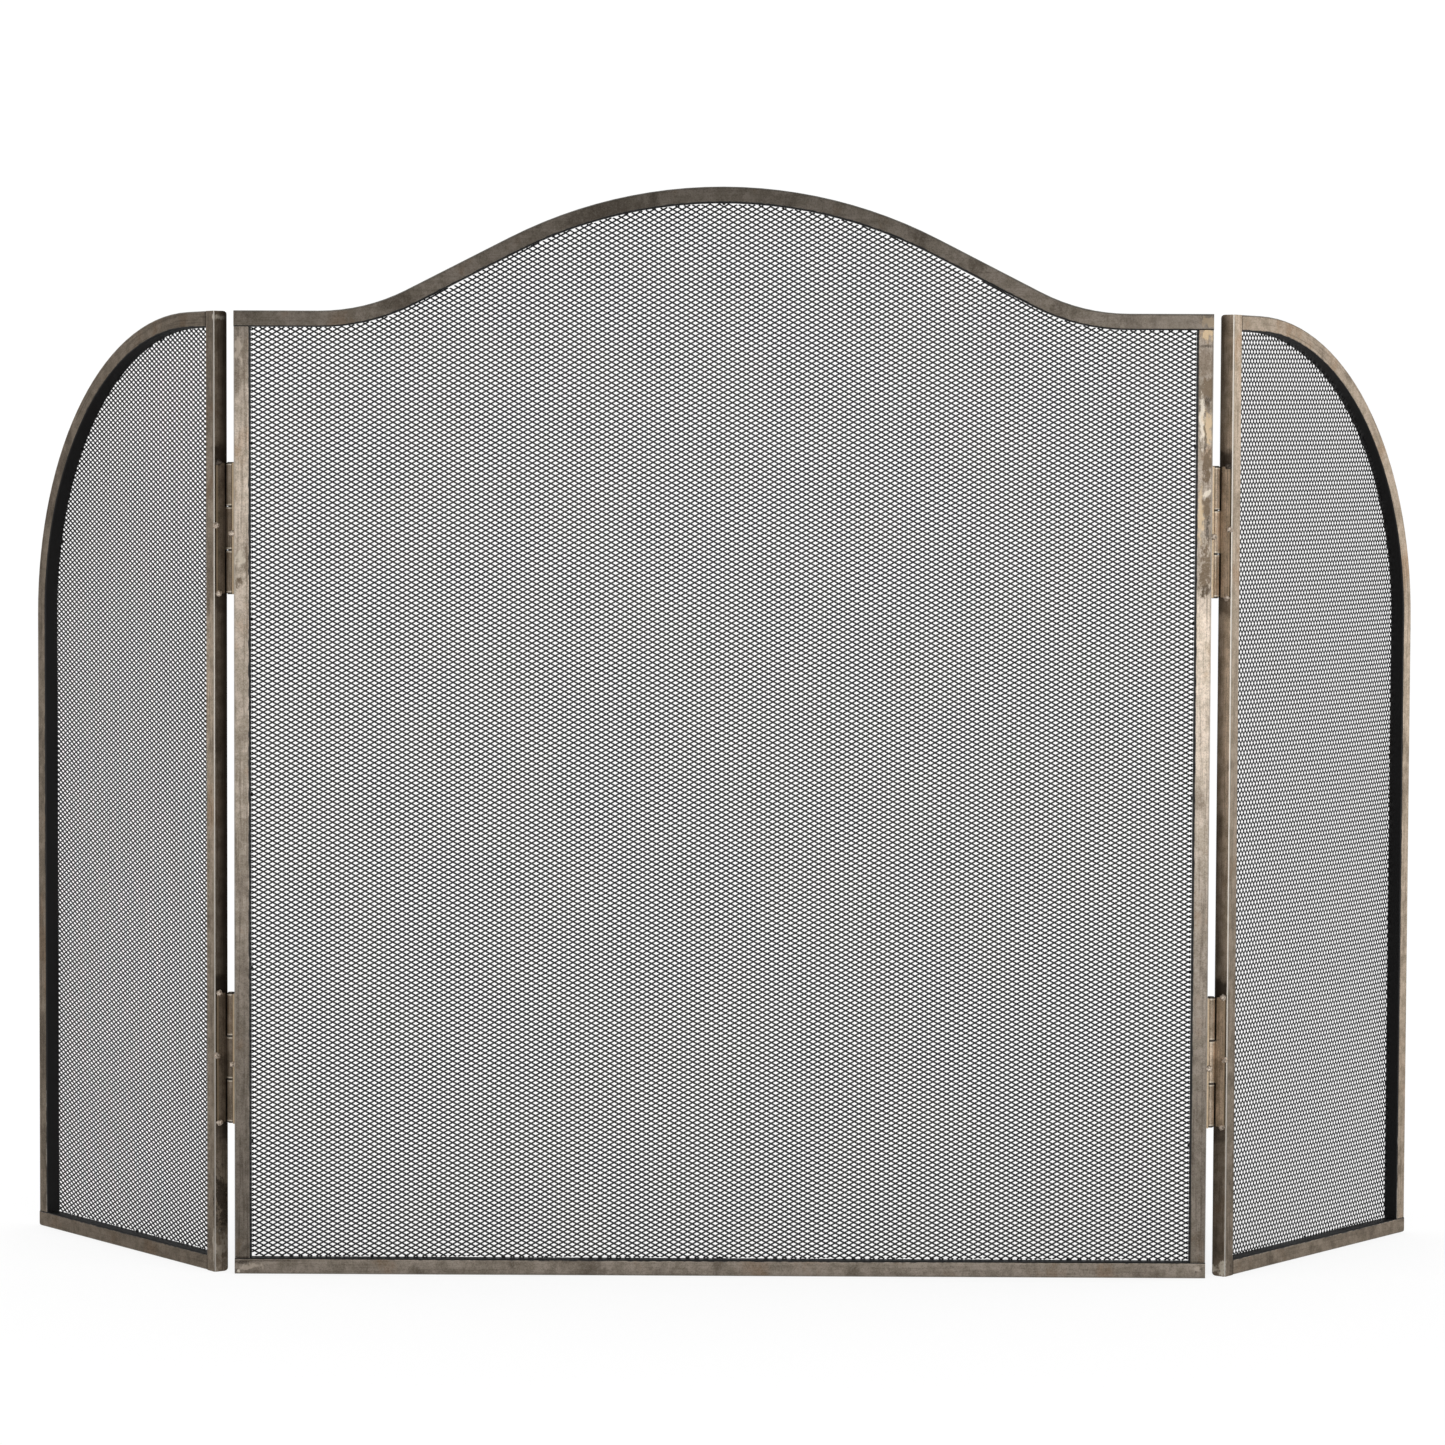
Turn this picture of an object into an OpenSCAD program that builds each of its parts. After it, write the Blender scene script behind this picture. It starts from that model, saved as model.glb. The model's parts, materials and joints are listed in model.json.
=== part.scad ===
// Three-panel folding fireplace screen. A wide centre panel with a crowned top carries a narrow
// wing on each side, hung on two butt hinges whose barrels stand at the back. Every panel is a
// frame of welded square tube with expanded metal mesh behind its front face.
// Origin: middle of the underside of the centre panel's bottom rail. The front faces -Y.

/* [Centre panel] */
// Width of the centre panel
centre_w = 612; // [560:1:660]
// Height of the wings, and of the centre panel at its shoulders
shoulder_h = 606; // [560:1:640]
// Height of the centre panel at the top of its crown
crown_h = 684; // [672:1:700]
// Radius of the crown along its upper edge
crown_r = 295; // [270:5:310]
// Radius of the hollow sweep between shoulder and crown, along its upper edge
sweep_r = 120; // [100:5:130]
// Steepest slope of the crown's sides, in degrees
sweep_angle = 27; // [25:1:30]

/* [Wings] */
// Width of each wing
wing_w = 228; // [210:1:260]
// Radius of each wing's top outer corner, along its outer edge
wing_arch_r = 195; // [150:5:205]
// How far the left wing is folded back from straight, in degrees
left_fold = 52.5; // [0:0.5:180]
// How far the right wing is folded back from straight, in degrees
right_fold = 52.5; // [0:0.5:180]

/* [Frame tube] */
// Side of the square tube
tube = 10; // [8:0.5:12]
// Wall thickness of the tube
wall = 1; // [0.8:0.1:1.5]
// Radius of the tube's long corners
tube_corner_r = 1; // [0.6:0.1:1.2]
// Depth of the weld metal that closes a free tube end
end_fill = 4; // [3:0.5:8]
// Radius ground on the rear corners of the wings' hinge stiles
stile_corner_r = 3; // [1:0.5:3]
// Radius ground on the wings' bottom outer corners
foot_corner_r = 2; // [1:0.5:3]

/* [Mesh] */
// Thickness over the mesh's strands
mesh_t = 1; // [0.6:0.1:1.2]
// Depth of the mesh's front below the front of the frame
mesh_depth = 8.7; // [6:0.1:8.8]

/* [Hinges] */
// Length of each hinge
hinge_len = 82; // [60:1:100]
// Height of the lower hinges above the floor, and of the upper ones below the shoulder
hinge_inset = 95; // [60:1:140]
// Outer radius of the barrel
knuckle_r = 2.7; // [2.4:0.1:2.7]
// Radius of the hinge pin
pin_r = 1.5; // [1.2:0.1:1.5]
// Thickness of each leaf
leaf_t = 1.2; // [1:0.1:1.4]
// Length of each leaf from the barrel's centre to its front edge
leaf_reach = 9; // [7:0.5:9.5]

/* [Hidden] */

frame_colour = [0.56, 0.51, 0.45];
mesh_colour = [0.10, 0.10, 0.10];
weld_colour = [0.42, 0.38, 0.33];
hinge_colour = [0.50, 0.46, 0.41];

// Small overlap that lets a cut run clear of the face it starts on
over = 1;
// Flats on each rounded corner of the tube, and the angle between points of a mesh outline
corner_steps = 4;
arc_step = 3;
// Smallest corner radius inside the tube
bore_corner_r = 0.3;
half_tube = tube / 2;
left = -1;
right = 1;

// The crown is one arc, the hollow sweep another, and a straight slope joins them.
slope_len = ((crown_h - shoulder_h) - (crown_r + sweep_r) * (1 - cos(sweep_angle)))
    / sin(sweep_angle);
sweep_x = (crown_r + sweep_r) * sin(sweep_angle) + slope_len * cos(sweep_angle);

// Room between the mesh's cut edge and the tubes
mesh_gap = 0.2;
mesh_front = mesh_depth - half_tube;
mesh_back = mesh_front + mesh_t;

// A leaf's welded face stands this far from the barrel's centre line, and the barrel's
// centre line stands this far behind the frame's back face.
leaf_offset = 3;
barrel_set_back = 0.5;
hinge_x = centre_w / 2 + leaf_offset;
hinge_y = half_tube + barrel_set_back;
knuckle_count = 3;
knuckle_gap = 0.4;
knuckle_pitch = (hinge_len + knuckle_gap) / knuckle_count;
knuckle_len = knuckle_pitch - knuckle_gap;
// A leaf is cut back this far from the barrel's centre line beside the other leaf's knuckles
knuckle_notch = 3.2;
pin_play = 0.05;
// Peened head on each end of a pin
pin_head_r = 2;
pin_head_h = 0.5;
lower_hinge_z = hinge_inset;
upper_hinge_z = shoulder_h - hinge_inset - hinge_len;
centre_knuckles = [0, 2];
wing_knuckles = [1];

// Radius of a hinge weld, and how far its centre lies below the leaf's surface
bead_r = 1.7;
bead_sink = 0.5;
// Turns a weld's sphere so that its poles lie clear of the faces that cut it
bead_turn = [30, 60, 0];
// Distance of the end beads from a leaf's front edge
bead_end_inset = 1.5;
centre_bead_heights = [hinge_len * 0.46];
wing_bead_heights = [hinge_len * 0.52];

// Radius of the tack welds along the mesh's edge, and how far their centres lie inside the mesh
tack_r = 1.1;
tack_sink = 0.5;
// Distance between tacks along a straight edge, and their angles round the curved ones
tack_pitch = 110;
crown_tacks = [68, 90, 112];
arch_tacks = [15, 45, 75];

// ---- Tube sections and runs ----

// Points round one corner of a square of the given half side
function corner_points(half, r, quarter) = [
    for (i = [0 : corner_steps])
        let (a = 90 * (quarter + i / corner_steps))
        let (sx = [1, -1, -1, 1][quarter], sy = [1, 1, -1, -1][quarter])
            [sx * (half - r) + r * cos(a), sy * (half - r) + r * sin(a)]
];

// Section of the tube, or of its bore when inset is the wall thickness
module section(inset) {
    half = half_tube - inset;
    r = max(tube_corner_r - inset, bore_corner_r);
    polygon([for (quarter = [0 : 3]) each corner_points(half, r, quarter)]);
}

// Straight run along +X from the origin
module run_x(length, inset) {
    rotate([0, 90, 0])
        linear_extrude(length)
            section(inset);
}

// Straight run along +Z from the origin
module run_z(length, inset) {
    linear_extrude(length)
        section(inset);
}

// Bend in the XZ plane round the origin, anticlockwise as seen from the front
module bend(radius, angle, start, inset) {
    rotate([90, 0, 0])
        rotate_extrude(angle = angle, start = start, $fn = 180)
            translate([radius, 0])
                section(inset);
}

// Cuts a ground radius on a corner: the corner stands at the origin, along +X, and the
// metal lies towards +Y and +Z
module corner_grind(r, length) {
    arc = [for (i = [0 : corner_steps])
        let (a = 270 - 90 * i / corner_steps)
            [r + r * cos(a), r + r * sin(a)]];
    rotate([90, 0, 90])
        linear_extrude(length)
            polygon(concat([[-over, -over], [r, -over]], arc, [[-over, r]]));
}

// ---- Centre panel ----

// One side of the top rail: shoulder, hollow sweep and slope
module half_top_run(end_trim, inset) {
    translate([sweep_x, 0, shoulder_h - half_tube])
        run_x(centre_w / 2 - sweep_x - end_trim, inset);
    translate([sweep_x, 0, shoulder_h + sweep_r])
        bend(sweep_r + half_tube, sweep_angle, 270 - sweep_angle, inset);
    translate([0, 0, crown_h - crown_r])
        rotate([0, sweep_angle, 0])
            translate([0, 0, crown_r - half_tube])
                run_x(slope_len, inset);
}

module top_run(end_trim, inset) {
    translate([0, 0, crown_h - crown_r])
        bend(crown_r - half_tube, 2 * sweep_angle, 90 - sweep_angle, inset);
    half_top_run(end_trim, inset);
    mirror([1, 0, 0])
        half_top_run(end_trim, inset);
}

module centre_top_rail() {
    color(frame_colour)
        difference() {
            top_run(0, 0);
            top_run(end_fill, wall);
        }
}

module centre_bottom_rail() {
    color(frame_colour)
        translate([0, 0, half_tube])
            difference() {
                translate([-centre_w / 2, 0, 0])
                    run_x(centre_w, 0);
                translate([-centre_w / 2 + end_fill, 0, 0])
                    run_x(centre_w - 2 * end_fill, wall);
            }
}

// Open-ended tube that stands between the two rails
module centre_stile(side) {
    length = shoulder_h - 2 * tube;
    color(frame_colour)
        translate([side * (centre_w / 2 - half_tube), 0, tube])
            difference() {
                run_z(length, 0);
                translate([0, 0, -over])
                    run_z(length + 2 * over, wall);
            }
}

// Half of the top rail's lower edge, moved in by the gap, from the crown down to the shoulder
function crown_points(inset) = [
    for (a = [0 : arc_step : sweep_angle])
        [(crown_r - inset) * sin(a), crown_h - crown_r + (crown_r - inset) * cos(a)]
];
function sweep_points(inset) = [
    for (a = [sweep_angle : -arc_step : 0])
        [sweep_x - (sweep_r + inset) * sin(a), shoulder_h + sweep_r - (sweep_r + inset) * cos(a)]
];
function mirrored(points) = [
    for (i = [len(points) - 1 : -1 : 0])
        [-points[i][0], points[i][1]]
];

// Flat sheet that stands for the expanded metal
module sheet(outline) {
    translate([0, mesh_back, 0])
        rotate([90, 0, 0])
            linear_extrude(mesh_t)
                polygon(outline);
}

module centre_mesh() {
    inset = tube + mesh_gap;
    side_x = centre_w / 2 - inset;
    half = concat(
        crown_points(inset),
        sweep_points(inset),
        [[side_x, shoulder_h - inset], [side_x, inset]]
    );
    color(mesh_colour)
        sheet(concat(half, mirrored(half)));
}

// Tack weld over the mesh's edge that fills the gap to the tube, whose side is the plane X = 0.
// The poles of its sphere lie in the metal that is cut away.
module tack() {
    reach = 2 * tack_r;
    difference() {
        translate([0, mesh_back - tack_sink, 0])
            rotate([0, 90, 0])
                sphere(tack_r, $fn = 32);
        translate([0, mesh_back - reach, -reach])
            cube(2 * reach);
        translate([-mesh_gap - 2 * reach, mesh_back - 2 * reach, -reach])
            cube(2 * reach);
    }
}

// Row of tacks up the middle of an edge of the given length, from the origin along +Z
module tack_row(length) {
    count = floor(length / tack_pitch);
    for (i = [0 : count - 1])
        translate([0, 0, (length - (count - 1) * tack_pitch) / 2 + i * tack_pitch])
            tack();
}

// Tacks inside an arc round the origin, at angles anticlockwise from +X
module tack_arc(radius, angles) {
    for (a = angles)
        rotate([0, -a, 0])
            translate([radius, 0, 0])
                tack();
}

module centre_mesh_welds() {
    edge_x = centre_w / 2 - tube;
    color(weld_colour) {
        translate([0, 0, crown_h - crown_r])
            tack_arc(crown_r - tube, crown_tacks);
        for (flip = [0, 1])
            mirror([flip, 0, 0])
                translate([edge_x, 0, tube])
                    tack_row(shoulder_h - 2 * tube);
        translate([-edge_x, 0, tube])
            rotate([0, 90, 0])
                tack_row(2 * edge_x);
    }
}

// ---- Hinges, drawn for the right side with the barrel's lower end at the origin ----

module hinge_leaf(own_knuckles) {
    plate_x = leaf_offset - leaf_t;
    difference() {
        union() {
            translate([plate_x, -leaf_reach, 0])
                cube([leaf_t, leaf_reach, hinge_len]);
            for (k = own_knuckles)
                translate([0, 0, k * knuckle_pitch])
                    cylinder(h = knuckle_len, r = knuckle_r, $fn = 64);
        }
        for (k = [0 : knuckle_count - 1])
            if (len(search(k, own_knuckles)) == 0)
                translate([plate_x - over, -knuckle_notch, k * knuckle_pitch - knuckle_gap])
                    cube([leaf_t + 2 * over, knuckle_notch + over, knuckle_len + 2 * knuckle_gap]);
        translate([0, 0, -over])
            cylinder(h = hinge_len + 2 * over, r = pin_r + pin_play, $fn = 64);
    }
}

module hinge_pin() {
    color(hinge_colour) {
        cylinder(h = hinge_len, r = pin_r, $fn = 64);
        for (z = [-pin_head_h, hinge_len])
            translate([0, 0, z])
                cylinder(h = pin_head_h, r = pin_head_r, $fn = 64);
    }
}

// Weld bead against a leaf's edge, cut clear of the leaf and of the stile behind it
module bead(y, z) {
    reach = 2 * bead_r;
    difference() {
        translate([leaf_offset - leaf_t + bead_sink, y, z])
            rotate(bead_turn)
                sphere(bead_r, $fn = 32);
        translate([leaf_offset, y - reach, z - reach])
            cube([reach, 2 * reach, 2 * reach]);
        translate([leaf_offset - leaf_t, -leaf_reach, 0])
            cube([leaf_t, leaf_reach, hinge_len]);
    }
}

// ---- Placing ----

// Stands its children at a hinge line, mirrored for the left side
module at_hinge(side, z) {
    if (side == left)
        mirror([1, 0, 0])
            translate([hinge_x, hinge_y, z])
                children();
    else
        translate([hinge_x, hinge_y, z])
            children();
}

// As above, turned back with the wing
module at_wing_hinge(side, z) {
    at_hinge(side, z)
        rotate([0, 0, side == left ? left_fold : right_fold])
            children();
}

// A wing's own frame: X outwards from the hinge side, Y from the middle of the tube
module in_wing(side) {
    at_wing_hinge(side, 0)
        translate([leaf_offset, -hinge_y, 0])
            children();
}

module centre_leaf(side, z) {
    color(hinge_colour)
        at_hinge(side, z)
            mirror([1, 0, 0])
                hinge_leaf(centre_knuckles);
}

module wing_leaf(side, z) {
    color(hinge_colour)
        at_wing_hinge(side, z)
            hinge_leaf(wing_knuckles);
}

module pin(side, z) {
    at_hinge(side, z)
        hinge_pin();
}

module centre_leaf_welds() {
    color(weld_colour)
        for (side = [left, right], z = [lower_hinge_z, upper_hinge_z], h = centre_bead_heights)
            at_hinge(side, z)
                mirror([1, 0, 0])
                    bead(-leaf_reach, h);
}

module wing_leaf_welds(side) {
    color(weld_colour)
        for (z = [lower_hinge_z, upper_hinge_z])
            at_wing_hinge(side, z) {
                for (h = wing_bead_heights)
                    bead(-leaf_reach, h);
                for (h = [0, hinge_len])
                    bead(bead_end_inset - leaf_reach, h);
            }
}

// ---- Wings ----

// Full-height tube beside the hinges, with its rear corners ground round
module hinge_stile(side) {
    color(frame_colour)
        in_wing(side)
            difference() {
                translate([half_tube, 0, 0])
                    run_z(shoulder_h, 0);
                translate([half_tube, 0, end_fill])
                    run_z(shoulder_h - 2 * end_fill, wall);
                translate([-over, half_tube, 0])
                    mirror([0, 1, 0])
                        corner_grind(stile_corner_r, tube + 2 * over);
                translate([-over, half_tube, shoulder_h])
                    mirror([0, 0, 1])
                        mirror([0, 1, 0])
                            corner_grind(stile_corner_r, tube + 2 * over);
            }
}

// Short top, quarter bend and outer stile in one length of tube
module arch_run(end_trim, inset) {
    bend_x = wing_w - wing_arch_r;
    bend_z = shoulder_h - wing_arch_r;
    translate([tube - end_trim, 0, shoulder_h - half_tube])
        run_x(bend_x - tube + end_trim, inset);
    translate([bend_x, 0, bend_z])
        bend(wing_arch_r - half_tube, 90, 0, inset);
    translate([wing_w - half_tube, 0, tube - end_trim])
        run_z(bend_z - tube + end_trim, inset);
}

// Both ends are open and butt against their neighbours
module arch_rail(side) {
    color(frame_colour)
        in_wing(side)
            difference() {
                arch_run(0, 0);
                arch_run(over, wall);
            }
}

module wing_bottom_rail(side) {
    length = wing_w - tube;
    color(frame_colour)
        in_wing(side)
            difference() {
                translate([tube, 0, half_tube])
                    run_x(length, 0);
                translate([tube - over, 0, half_tube])
                    run_x(length + over - end_fill, wall);
                translate([wing_w, -half_tube - over, 0])
                    rotate([0, 0, 90])
                        corner_grind(foot_corner_r, tube + 2 * over);
            }
}

module wing_mesh(side) {
    inset = tube + mesh_gap;
    r = wing_arch_r - inset;
    arch = [for (a = [0 : arc_step : 90])
        [wing_w - wing_arch_r + r * cos(a), shoulder_h - wing_arch_r + r * sin(a)]];
    outline = concat(
        [[inset, inset], [wing_w - inset, inset]],
        arch,
        [[inset, shoulder_h - inset]]
    );
    color(mesh_colour)
        in_wing(side)
            sheet(outline);
}

module wing_mesh_welds(side) {
    color(weld_colour)
        in_wing(side) {
            translate([wing_w - wing_arch_r, 0, shoulder_h - wing_arch_r])
                tack_arc(wing_arch_r - tube, arch_tacks);
            translate([tube, 0, tube])
                mirror([1, 0, 0])
                    tack_row(shoulder_h - 2 * tube);
            translate([wing_w - tube, 0, tube])
                tack_row(shoulder_h - wing_arch_r - tube);
            translate([tube, 0, tube])
                rotate([0, 90, 0])
                    tack_row(wing_w - 2 * tube);
        }
}

centre_top_rail();
centre_stile(left);  // centre_left_stile
centre_stile(right);  // centre_right_stile
centre_bottom_rail();
centre_mesh();
centre_mesh_welds();
centre_leaf(left, upper_hinge_z);  // upper_left_hinge_centre_leaf
centre_leaf(left, lower_hinge_z);  // lower_left_hinge_centre_leaf
centre_leaf(right, upper_hinge_z);  // upper_right_hinge_centre_leaf
centre_leaf(right, lower_hinge_z);  // lower_right_hinge_centre_leaf
pin(left, upper_hinge_z);  // upper_left_hinge_pin
pin(left, lower_hinge_z);  // lower_left_hinge_pin
pin(right, upper_hinge_z);  // upper_right_hinge_pin
pin(right, lower_hinge_z);  // lower_right_hinge_pin
centre_leaf_welds();
arch_rail(left);  // left_arch_rail
hinge_stile(left);  // left_hinge_stile
wing_bottom_rail(left);  // left_bottom_rail
wing_mesh(left);  // left_mesh
wing_mesh_welds(left);  // left_mesh_welds
wing_leaf(left, upper_hinge_z);  // upper_left_hinge_wing_leaf
wing_leaf(left, lower_hinge_z);  // lower_left_hinge_wing_leaf
wing_leaf_welds(left);  // left_leaf_welds
arch_rail(right);  // right_arch_rail
hinge_stile(right);  // right_hinge_stile
wing_bottom_rail(right);  // right_bottom_rail
wing_mesh(right);  // right_mesh
wing_mesh_welds(right);  // right_mesh_welds
wing_leaf(right, upper_hinge_z);  // upper_right_hinge_wing_leaf
wing_leaf(right, lower_hinge_z);  // lower_right_hinge_wing_leaf
wing_leaf_welds(right);  // right_leaf_welds
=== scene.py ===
"""Looks for a three-panel folding fireplace screen: burnished tube frames, black expanded metal
and welded butt hinges, on a white studio floor. Everything is in metres, in the part's frame."""

import json
import math
from collections import namedtuple

import bmesh
import bpy
import numpy as np
from mathutils import Matrix, Vector, noise


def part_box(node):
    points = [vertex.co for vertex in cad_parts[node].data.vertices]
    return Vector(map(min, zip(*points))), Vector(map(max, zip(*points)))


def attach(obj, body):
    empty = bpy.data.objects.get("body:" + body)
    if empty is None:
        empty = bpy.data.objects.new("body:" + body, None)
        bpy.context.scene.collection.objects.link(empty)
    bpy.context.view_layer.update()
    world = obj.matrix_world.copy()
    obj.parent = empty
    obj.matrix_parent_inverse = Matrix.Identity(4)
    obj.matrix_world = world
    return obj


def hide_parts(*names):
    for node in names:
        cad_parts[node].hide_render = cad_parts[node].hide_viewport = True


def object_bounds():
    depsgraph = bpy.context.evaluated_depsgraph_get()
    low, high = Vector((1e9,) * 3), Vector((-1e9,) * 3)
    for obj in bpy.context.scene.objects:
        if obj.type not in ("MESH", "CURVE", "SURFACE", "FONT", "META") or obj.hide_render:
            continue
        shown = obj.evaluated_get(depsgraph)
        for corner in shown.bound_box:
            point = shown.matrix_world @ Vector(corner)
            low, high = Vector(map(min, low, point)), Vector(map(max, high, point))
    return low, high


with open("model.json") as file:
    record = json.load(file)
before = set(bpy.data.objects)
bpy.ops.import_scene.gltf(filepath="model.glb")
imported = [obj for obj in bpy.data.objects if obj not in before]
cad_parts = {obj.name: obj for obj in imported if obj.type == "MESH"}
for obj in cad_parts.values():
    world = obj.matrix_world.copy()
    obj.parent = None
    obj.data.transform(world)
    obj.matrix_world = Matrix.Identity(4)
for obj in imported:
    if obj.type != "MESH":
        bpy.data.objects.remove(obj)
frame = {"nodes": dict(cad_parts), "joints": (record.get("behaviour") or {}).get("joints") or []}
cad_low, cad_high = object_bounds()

MM = 0.001

# ---- Panels ----

# A panel's own frame: X across it (outwards from the hinges on a wing), Y from the middle of the
# tube's depth towards the back, Z up. place turns that into the part's frame.
# side is -1 for the left wing, whose X runs the other way, and middle is the panel's centre.
Panel = namedtuple("Panel", "body side place fold middle")

rail_low, rail_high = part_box("centre_bottom_rail")
TUBE = rail_high.z - rail_low.z
HALF_TUBE = TUBE / 2
CENTRE_W = rail_high.x - rail_low.x
SHOULDER_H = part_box("left_hinge_stile")[1].z
CROWN_H = cad_high.z


def fold_joint(name):
    """The joint of the left or the right wing."""
    return next(joint for joint in frame["joints"] if joint["name"] == f"{name}_wing_fold")


def wing_panel(name, side):
    """A wing's panel, placed by its joint, whose low limit is the wing straight in line."""
    joint = fold_joint(name)
    pivot = Vector(joint["pos_m"])
    fold = side * -math.radians(joint["range_deg"][0])
    leaf_offset = abs(pivot.x) - CENTRE_W / 2
    place = (
        Matrix.Translation(pivot)
        @ Matrix.Rotation(fold, 4, "Z")
        @ Matrix.Diagonal((side, 1, 1, 1))
        @ Matrix.Translation((leaf_offset, -pivot.y, 0))
    )
    inverse = place.inverted()
    rail = frame["nodes"][f"{name}_arch_rail"].data
    width = max((inverse @ vert.co).x for vert in rail.vertices)
    return Panel(f"{name}_wing", side, place, fold, (width / 2, SHOULDER_H / 2))


CENTRE = Panel("centre_panel", 1, Matrix.Identity(4), 0, (0, SHOULDER_H / 2))
LEFT = wing_panel("left", -1)
RIGHT = wing_panel("right", 1)
WING_W = 2 * LEFT.middle[0]
WING_ARCH_R = 195 * MM

# ---- Shader helpers ----


def new_material(name):
    """A node material, and its tree with only the output and the surface shader in it."""
    material = bpy.data.materials.new(name)
    material.use_nodes = True
    return material, material.node_tree


def node(tree, kind, inputs=None, **settings):
    """Adds a shader node. inputs maps a socket's name or number to a value or a socket."""
    made = tree.nodes.new("ShaderNode" + kind)
    for name, value in settings.items():
        setattr(made, name, value)
    for key, value in (inputs or {}).items():
        feed(tree, made.inputs[key], value)
    return made


def feed(tree, socket, value):
    """Links a socket to another, or sets its value."""
    if isinstance(value, bpy.types.NodeSocket):
        tree.links.new(value, socket)
    else:
        socket.default_value = value


def calc(tree, operation, *values, clamp=False):
    """The result of a Math node."""
    made = node(tree, "Math", dict(enumerate(values)), operation=operation, use_clamp=clamp)
    return made.outputs[0]


def vector_calc(tree, operation, *values):
    """The result of a Vector Math node. SCALE takes a vector and a number."""
    sockets = (0, "Scale") if operation == "SCALE" else range(len(values))
    made = node(tree, "VectorMath", dict(zip(sockets, values)), operation=operation)
    return made.outputs["Value" if operation in ("DOT_PRODUCT", "LENGTH") else "Vector"]


def rise(tree, value, low, high):
    """0 below low, 1 above high and smooth between. With low above high it falls instead."""
    made = node(
        tree,
        "MapRange",
        {"Value": value, "From Min": low, "From Max": high},
        interpolation_type="SMOOTHSTEP",
    )
    return made.outputs["Result"]


def spread(tree, value, low, high):
    """Maps 0 to 1 onto low to high."""
    return node(tree, "MapRange", {"Value": value, "To Min": low, "To Max": high}).outputs["Result"]


def mix(tree, share, a, b, blend="MIX"):
    """a where share is 0 and b where it is 1."""
    made = node(tree, "Mix", data_type="RGBA", blend_type=blend)
    feed(tree, made.inputs["Factor"], share)
    feed(tree, made.inputs[6], a)
    feed(tree, made.inputs[7], b)
    return made.outputs[2]


def times(tree, a, b):
    """The product of two colours."""
    return mix(tree, 1.0, a, b, blend="MULTIPLY")


def product(tree, first, *others):
    """The product of two or more numbers."""
    for other in others:
        first = calc(tree, "MULTIPLY", first, other)
    return first


def paint(tree, base, over, area, strength):
    """Lays a colour over the base where area is 1, as strongly as strength."""
    return mix(tree, product(tree, area, strength), base, over)


def combined(tree, x, y, z=0.0):
    """The vector with these parts."""
    return node(tree, "CombineXYZ", {"X": x, "Y": y, "Z": z}).outputs[0]


def parts_of(tree, vector):
    """The X, Y and Z sockets of a vector."""
    return node(tree, "SeparateXYZ", {0: vector}).outputs


def colour(red, green, blue):
    """A linear colour from a display colour, each part from 0 to 255."""
    parts = [c / 255 for c in (red, green, blue)]
    return (*(c / 12.92 if c < 0.04045 else ((c + 0.055) / 1.055) ** 2.4 for c in parts), 1)


def grain(tree, point, scale, stretch=(1, 1, 1), detail=3, roughness=0.5, seed=0):
    """Noise of that many cells a metre, drawn out along an axis whose stretch is over 1. seed
    shifts it, so that no two tubes have the same pattern."""
    drawn = node(
        tree,
        "Mapping",
        {
            "Vector": point,
            "Location": (seed, seed * 0.7, seed * 1.3),
            "Scale": tuple(1 / s for s in stretch),
        },
    ).outputs[0]
    made = node(
        tree,
        "TexNoise",
        {"Vector": drawn, "Scale": scale, "Detail": detail, "Roughness": roughness},
    )
    return made.outputs["Fac"]


def panel_point(tree, panel):
    """The surface point in its panel's own frame, the same at every pose."""
    place = node(tree, "TexCoord").outputs["Object"]
    return to_panel(tree, panel, place, panel.place.translation)


def panel_normal(tree, panel):
    """The surface normal in its panel's own frame."""
    return to_panel(tree, panel, node(tree, "TexCoord").outputs["Normal"], (0, 0, 0))


def to_panel(tree, panel, vector, origin):
    """Turns a vector into the panel's own frame."""
    made = node(
        tree,
        "Mapping",
        {
            "Vector": vector,
            "Location": tuple(origin),
            "Rotation": (0, 0, panel.fold),
            "Scale": (panel.side, 1, 1),
        },
        vector_type="TEXTURE",
    )
    return made.outputs[0]


# ---- Frame finish ----

PALE = colour(255, 248, 237)
LIGHT = colour(246, 229, 211)
MIDDLE = colour(208, 193, 174)
DARK = colour(144, 129, 112)
UMBER = colour(86, 74, 62)
RUST = colour(205, 162, 118)
BLACK = colour(20, 19, 19)
# Marks: fresh metal, heated metal, grime and soot. The bright colour also paints highlights, the
# straw one a painted highlight on a leaf's front edge, and the soot colour painted shade
BRIGHT = colour(255, 244, 226)
STRAW = colour(222, 196, 158)
STAIN = colour(120, 104, 86)
SOOT_AND_SHADE = colour(46, 38, 31)
# What the finish is multiplied by: the wings' is a little warmer
PLAIN = (1.0, 1.0, 1.0, 1)
WARM = (1.02, 0.97, 0.90, 1)
# How metallic bare brass is
METALLIC = 0.9
# Its roughness where the mottling is faint and where it is strong, and what the specks add to it
GLOSS = (0.32, 0.46)
SPECK_ROUGHNESS = 0.10
# Strength and depth of its relief, and how much of that the lines make against the specks
RELIEF_STRENGTH = 0.3
RELIEF_DEPTH = 0.2 * MM
STREAK_RELIEF = 0.6

# Cells a metre in the finish's noises: the mottling, the lines along a tube, the specks, the large
# patches, the ragged edges of marks, how marks wander across and up, and how the black's edge does
CLOUD_CELLS = 120
STREAK_CELLS = 900
FINE_CELLS = 1300
PATCH_CELLS = 30
RAGGED_CELLS = 420
WANDER_X_CELLS = 170
WANDER_Z_CELLS = 110
BLACK_EDGE_CELLS = 240
# How far the black's edge wanders, as a part of the normal
BLACK_EDGE = 0.16

# A mark on a tube: where it is across the panel and up it, how far it reaches each way, its
# colour and its strength
Mark = namedtuple("Mark", "x z reach_x reach_z colour strength")
# Marks that reach further up than this have outlines that wander, this far across and up
WANDERING_REACH = 2.5 * MM
WANDER_X = 3 * MM
WANDER_Z = 9 * MM
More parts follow.
